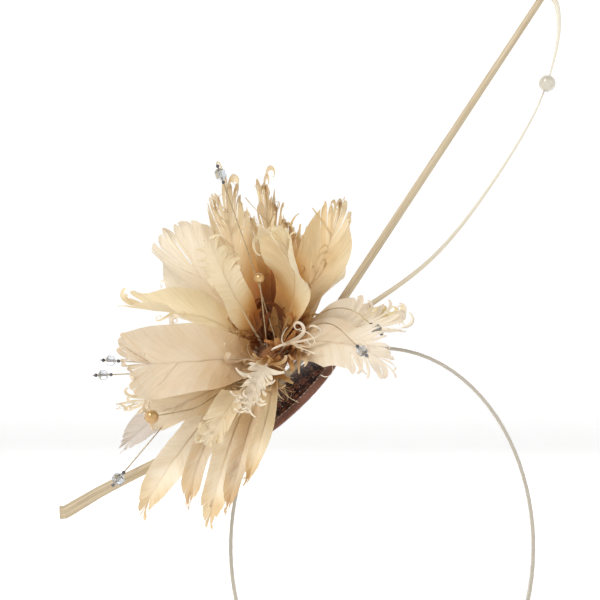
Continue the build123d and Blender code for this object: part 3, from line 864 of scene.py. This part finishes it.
def weave_layer(name, turned, drop, seed):
    """Two families of flat fibres over the dome, each passing over and under the other."""
    skin = Skin()
    rng = random.Random(seed)
    reach = RIM_RADIUS - 0.8 * MM
    count = int(reach / WEAVE_PITCH)
    cosine, sine = math.cos(math.radians(turned)), math.sin(math.radians(turned))
    for family in (0, 1):
        for n in range(-count, count + 1):
            u = n * WEAVE_PITCH + rng.uniform(-0.12, 0.12) * MM
            half_length = math.sqrt(max(reach * reach - u * u, 0))
            steps = max(int(4 * half_length / WEAVE_PITCH), 2)
            half = STRAND_HALF_WIDTH * rng.uniform(0.75, 1.1)
            shade = rng.uniform(0, 1)
            rows = []
            for k in range(steps + 1):
                v = -half_length + 2 * half_length * k / steps
                over = math.cos(math.pi * v / WEAVE_PITCH) * (1 if (n + family) % 2 else -1)
                row = []
                for i in (-1, 0, 1):
                    first, second = (u + half * i, v) if family else (v, u + half * i)
                    first, second = first * cosine - second * sine, first * sine + second * cosine
                    squeeze = min(1, reach / max(math.hypot(first, second), 1e-6))
                    rise = WEAVE_RISE * over - STRAND_CROWN * abs(i) - drop
                    place = dome_place(first * squeeze, second * squeeze, rise)
                    row.append(skin.add(place, (n * 5 + i * 0.5, v / MM), shade))
                rows.append(row)
            skin.grid(rows)
    layer = skin.build(name, SINAMAY)
    return layer


def make_sinamay():
    """Two stiffened layers of open weave, one laid on the other at an angle."""
    outer = weave_layer("sinamay_outer_layer", 0, 0, 21)
    stand_for(outer, "sinamay_base")
    inner = weave_layer("sinamay_inner_layer", 38, 0.7 * MM, 22)
    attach(inner, body_of_node("sinamay_base"))


def rim_frame(turn):
    """Directions at the dome's edge: round it, down its slope, and off its face."""
    outward = on_circle(DOME_ACROSS, DOME_ALONG, turn)
    slope = math.asin(RIM_RADIUS / DOME_RADIUS)
    down = outward * math.cos(slope) - DOME_AXIS * math.sin(slope)
    off = outward * math.sin(slope) + DOME_AXIS * math.cos(slope)
    return RIM_CENTRE + outward * RIM_RADIUS, down, off


def make_binding():
    """Bias strip folded over the dome's edge, puckered, and sewn through near its inner edges."""
    skin, stitches = Skin(), Skin()
    rounds, sides = 220, 22
    half_width, half_thickness = 2.45 * MM, 1.25 * MM
    inset = 0.9 * MM  # how far the strip's middle lies inside the rim
    rows = []
    for n in range(rounds):
        turn = math.tau * n / rounds
        place, down, off = rim_frame(turn)
        row = []
        for k in range(sides):
            angle = math.tau * k / sides
            pucker = 1 + 0.07 * noise.noise(Vector((turn * 16, 3 * math.cos(angle), math.sin(angle))))
            along = squared_off(math.cos(angle), 0.75) * half_width
            over = squared_off(math.sin(angle), 0.8) * half_thickness
            point = place - down * inset + (down * along + off * over) * pucker
            row.append(skin.add(point, (turn * RIM_RADIUS / MM, 5.0 * k / sides)))
        rows.append(row)
    skin.grid(rows + [rows[0]], closed=True)
    stand_for(skin.build("edge_binding_folded", BINDING), "base_edge_binding")
    stitch_count, seam_inset = 72, 2.3 * MM
    for n in range(stitch_count):
        turn = math.tau * n / stitch_count
        for face in (-1, 1):
            stitch = []
            for shift, lift in ((-0.012, 0.95), (-0.004, 1.22), (0.004, 1.22), (0.012, 0.95)):
                place, down, off = rim_frame(turn + shift)
                stitch.append(place - down * seam_inset + off * (face * (lift * MM)))
            tube(stitches, stitch, [0.2 * MM] * len(stitch), rim_frame(turn)[2])
    seam = stitches.build("binding_seam", THREAD)
    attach(seam, body_of_node("base_edge_binding"))


def make_felt():
    """The CAD pad, remeshed and relaxed, with a slightly rough skin."""
    pad = add_object("felt_pad_soft", frame["nodes"]["felt_pad"].data.copy())
    remesh = pad.modifiers.new("remesh", "REMESH")
    remesh.mode = "VOXEL"
    remesh.voxel_size = 0.7 * MM
    pad.modifiers.new("relax", "SMOOTH").iterations = 4
    soft = bpy.data.meshes.new_from_object(pad.evaluated_get(bpy.context.evaluated_depsgraph_get()))
    pad.modifiers.clear()
    pad.data = soft
    roughness, grain, seed = 0.16 * MM, 900, 4
    for vertex in soft.vertices:
        shift = noise.noise(vertex.co * grain + Vector((seed, 0, 0)))
        vertex.co += vertex.normal * (shift * roughness)
    soft.polygons.foreach_set("use_smooth", [True] * len(soft.polygons))
    soft.materials.clear()
    soft.materials.append(FELT)
    stand_for(pad, "felt_pad")


make_felt()
make_sinamay()
make_binding()


# ---- hub
def make_hub():
    """Core and stem with thread wound round them from the dome up to the feathers."""
    axis = (FLOWER_CENTRE - (DOME_CENTRE + DOME_AXIS * DOME_RADIUS)).normalized()
    across = axis.cross(Vector((1, 0, 0))).normalized()
    along = axis.cross(across)
    stem_length = (FLOWER_CENTRE - DOME_CENTRE).length - DOME_RADIUS - 0.8 * MM
    stem_radius = 3.2 * MM
    ball_radius = HUB_BALL_RADIUS - 0.35 * MM

    def radius_at(height):
        inside = ball_radius ** 2 - height ** 2
        return max(math.sqrt(inside) if inside > 0 else 0, stem_radius if height < 0 else 0)

    skin = Skin()
    rows = []
    levels, sides = 60, 32
    top = ball_radius * 0.995
    for n in range(levels + 1):
        height = -stem_length + (top + stem_length) * n / levels
        radius = radius_at(height)
        rows.append([
            skin.add(
                FLOWER_CENTRE + axis * height + on_circle(across, along, math.tau * k / sides) * radius,
                (k, n))
            for k in range(sides)
        ])
    skin.closed_tube(rows)
    turns = 26
    steps = turns * 24
    thread_radius = 0.36 * MM
    path = []
    for n in range(steps + 1):
        height = -stem_length + 0.5 * MM + (top + stem_length - 1.2 * MM) * n / steps
        outward = on_circle(across, along, math.tau * turns * n / steps)
        path.append(FLOWER_CENTRE + axis * height + outward * (radius_at(height) + thread_radius / 3))
    tube(skin, path, [thread_radius] * len(path), axis)
    stand_for(skin.build("flower_hub_wound", WOUND_THREAD), "flower_hub")


make_hub()


# ---- headband
SATIN = streaked_material(
    "satin_ribbon", (0.34, 0.30, 0.24), (0.54, 0.50, 0.42), 0.34, (8, 0.25, 1), True, 0.00012,
    sheen_weight=0.35, coat_weight=0.15, coat_roughness=0.35)
WIND_PITCH = 6.5  # millimetres of headband covered by each turn of the ribbon
WIND_STEP = 0.16 * MM  # thickness that shows at the ribbon's overlapping edge
CAP_STEP = 0.25 * MM  # the same at the folded end caps
BAND_ROUNDNESS = 0.35  # 1 is an oval section, near 0 a box
BAND_STATIONS = 900


def band_centre_line():
    """Evenly spaced points along the middle of the headband, from its left end to its right end."""
    low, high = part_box("headband_ribbon")
    pivot = Vector((0, 0, low.z + (high.z - low.z) * 0.3))
    ends = node_points("headband_ribbon")
    ends = ends[ends[:, 2] < low.z + 0.1 * MM]
    right = Vector(ends[ends[:, 0] > 0].mean(axis=0))
    left = Vector(ends[ends[:, 0] < 0].mean(axis=0))
    first = math.atan2(left.z - pivot.z, left.x - pivot.x) % (math.tau)
    last = math.atan2(right.z - pivot.z, right.x - pivot.x)
    dense = [left]
    for i in range(1, 200):
        turn = first + (last - first) * i / 200
        outward = Vector((math.cos(turn), 0, math.sin(turn)))
        points = crossing_points("headband_ribbon", pivot, Vector((-math.sin(turn), 0, math.cos(turn))))
        reach = (points - np.array(pivot)) @ np.array(outward)
        reach = reach[reach > 0]
        dense.append(pivot + outward * float(reach.min() + reach.max()) / 2)
    dense.append(right)
    dense = np.array(dense)
    length = np.concatenate([[0], np.cumsum(np.linalg.norm(np.diff(dense, axis=0), axis=1))])
    even = np.linspace(0, length[-1], BAND_STATIONS + 1)
    return [Vector([np.interp(s, length, dense[:, i]) for i in range(3)]) for s in even], length[-1]


def band_sleeve(name, centres, spacing, half_width, half_thickness, wind_step, node):
    """Sleeve round a stretch of the headband, with the overlapping edges of a wound ribbon."""
    skin = Skin()
    sides = 28
    rows = []
    for n, centre in enumerate(centres):
        outward = direction_at(centres, n).cross(BACK).normalized()
        along = n * spacing / MM
        row = []
        for k in range(sides):
            angle = math.tau * k / sides
            over = squared_off(math.cos(angle), BAND_ROUNDNESS) * half_thickness
            wide = squared_off(math.sin(angle), BAND_ROUNDNESS) * half_width
            phase = (along / WIND_PITCH + k / sides) % 1.0
            step = wind_step * (smooth(0.0, 0.10, phase) * (1 - phase * 0.75) - 0.3)
            point = centre + outward * over + BACK * wide
            point += on_circle(outward, BACK, angle) * step
            row.append(skin.add(point, (along, 15.0 * k / sides)))
        rows.append(row)
    skin.closed_tube(rows)
    stand_for(skin.build(name, SATIN), node)


def make_headband():
    centres, length = band_centre_line()
    spacing = length / BAND_STATIONS
    low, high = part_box("headband_ribbon")
    half_width = (high.y - low.y) / 2
    half_thickness = centres[BAND_STATIONS // 2].z  # the frame's origin is on the crown's inner face
    band_sleeve(
        "headband_wound_ribbon", centres, spacing, half_width, half_thickness, WIND_STEP, "headband_ribbon")
    cap_low, cap_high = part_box("headband_cap_left")
    covered = int((cap_high.z - cap_low.z) / spacing)
    grown = (cap_high.y - cap_low.y) / 2
    wall = grown - half_width
    for name, part in (("left", centres[:covered]), ("right", centres[-covered:])):
        node = f"headband_cap_{name}"
        band_sleeve(node + "_folded", part, spacing, grown, half_thickness + wall, CAP_STEP, node)


make_headband()


# ---- finishes of the kept solids
PEARL = streaked_material(
    "pearl", (0.50, 0.46, 0.37), (0.66, 0.62, 0.52), 0.22, (120, 120, 120),
    coat_weight=0.7, coat_roughness=0.12, sheen_weight=0.2)
GOLDEN_PEARL = streaked_material(
    "golden_pearl", (0.42, 0.24, 0.08), (0.60, 0.38, 0.16), 0.24, (120, 120, 120),
    metallic=0.45, coat_weight=0.7, coat_roughness=0.12)
CRYSTAL = streaked_material(
    "cut_crystal", (0.50, 0.53, 0.56), (0.80, 0.82, 0.85), 0.03, (200, 200, 200),
    transmission_weight=1.0, ior=1.56)
SEED_BEAD = streaked_material(
    "dark_seed_bead", (0.05, 0.05, 0.06), (0.20, 0.20, 0.22), 0.22, (400, 400, 400),
    metallic=0.85)
WIRE = streaked_material(
    "fine_wire", (0.34, 0.25, 0.14), (0.58, 0.47, 0.30), 0.38, (300, 300, 900),
    metallic=1.0)
STEEL = streaked_material(
    "spring_steel", (0.40, 0.40, 0.41), (0.58, 0.58, 0.60), 0.35, (60, 60, 400),
    metallic=1.0)
FINISHES = {  # by how a node's name ends; the first match counts
    "quill_pearl": PEARL, "_pearl": GOLDEN_PEARL, "_crystal": CRYSTAL, "_seed_beads": SEED_BEAD,
    "_wire": WIRE, "headband_core": STEEL, "_stitches": THREAD, "hub_binding": THREAD,
}


def finish_kept_nodes():
    for name, thing in frame["nodes"].items():
        material = next((finish for ending, finish in FINISHES.items() if name.endswith(ending)), None)
        if material:
            for slot in thing.material_slots:
                slot.material = material


finish_kept_nodes()


# ---- camera, light and stage
PICTURE_WIDTH = 0.306  # width of the view in the headband's plane
CAMERA_DISTANCE = 1.2
VIEW_CENTRE = Vector((-0.0418, 0, 0.0255))


def make_camera():
    data = bpy.data.cameras.new("camera")
    data.sensor_width = 36
    data.lens = data.sensor_width * CAMERA_DISTANCE / PICTURE_WIDTH
    camera = add_object("camera", data)
    camera.location = VIEW_CENTRE + Vector((0, -CAMERA_DISTANCE, 0))
    camera.rotation_euler = (math.pi / 2, 0, 0)
    bpy.context.scene.camera = camera


def area_light(name, place, size, power, colour):
    data = bpy.data.lights.new(name, "AREA")
    data.size = size
    data.energy = power
    data.color = colour
    light = add_object(name, data)
    light.location = place
    light.rotation_euler = (LIGHT_TARGET - Vector(place)).to_track_quat("-Z", "Y").to_euler()


STAGE_GLOW = 0.25  # how strongly the paper shines of itself at the headpiece's feet
STAGE_GLOW_SLOPE = 0.035  # and how much more for each metre further back
SKY_STRENGTH = 0.25
LIGHT_TARGET = Vector((-0.05, 0, 0))


def make_stage():
    """White round floor that sweeps up into a wall on every side of the headpiece."""
    floor_height = CAD_BOX[0].z - 0.5 * MM
    flat, bend, height = 2.6, 0.8, 3.4  # radius of the floor, of its bend, and the wall's top
    steps, sides = 12, 96
    profile = [(0.1 * MM, 0.0), (flat, 0.0)]
    for i in range(1, steps + 1):
        turn = math.pi / 2 * i / steps
        profile.append((flat + bend * math.sin(turn), bend - bend * math.cos(turn)))
    profile.append((flat + bend, height))
    skin = Skin()
    turns = [math.tau * k / sides for k in range(sides)]
    rows = [
        [
            skin.add(Vector((reach * math.cos(turn), reach * math.sin(turn), floor_height + rise)))
            for turn in turns
        ]
        for reach, rise in profile
    ]
    skin.grid(rows, closed=True)
    shader = Shader("studio_paper", roughness=0.9)
    grain = shader.noise(False, (60, 60, 60))
    shader.feed_colour(shader.ramp(grain, [(0.0, (0.93, 0.93, 0.93)), (1.0, (0.96, 0.96, 0.96))]))
    shader.set("Emission Color", (1, 1, 1, 1))
    place = shader.node("SeparateXYZ")
    shader.feed(shader.node("TexCoord").outputs["Object"], place.inputs["Vector"])
    backward = shader.math("MULTIPLY", place.outputs["Y"], STAGE_GLOW_SLOPE)
    shader.feed(shader.math("ADD", backward, STAGE_GLOW), shader.principled.inputs["Emission Strength"])
    skin.build("studio_sweep", shader.material)


def make_light():
    world = bpy.data.worlds.new("studio")
    world.use_nodes = True
    sky = world.node_tree.nodes["Background"].inputs
    sky["Color"].default_value = (1, 1, 1, 1)
    sky["Strength"].default_value = SKY_STRENGTH
    bpy.context.scene.world = world
    area_light("key", (-0.7, -0.9, 0.9), size=0.4, power=10, colour=(1, 0.98, 0.95))
    area_light("fill", (0.9, -0.8, 0.3), size=0.9, power=1.5, colour=(1, 1, 1))
    area_light("back", (0.0, 0.8, 0.7), size=1.2, power=5, colour=(1, 0.99, 0.97))
    bpy.context.scene.view_settings.view_transform = "Standard"


make_camera()
make_stage()
make_light()
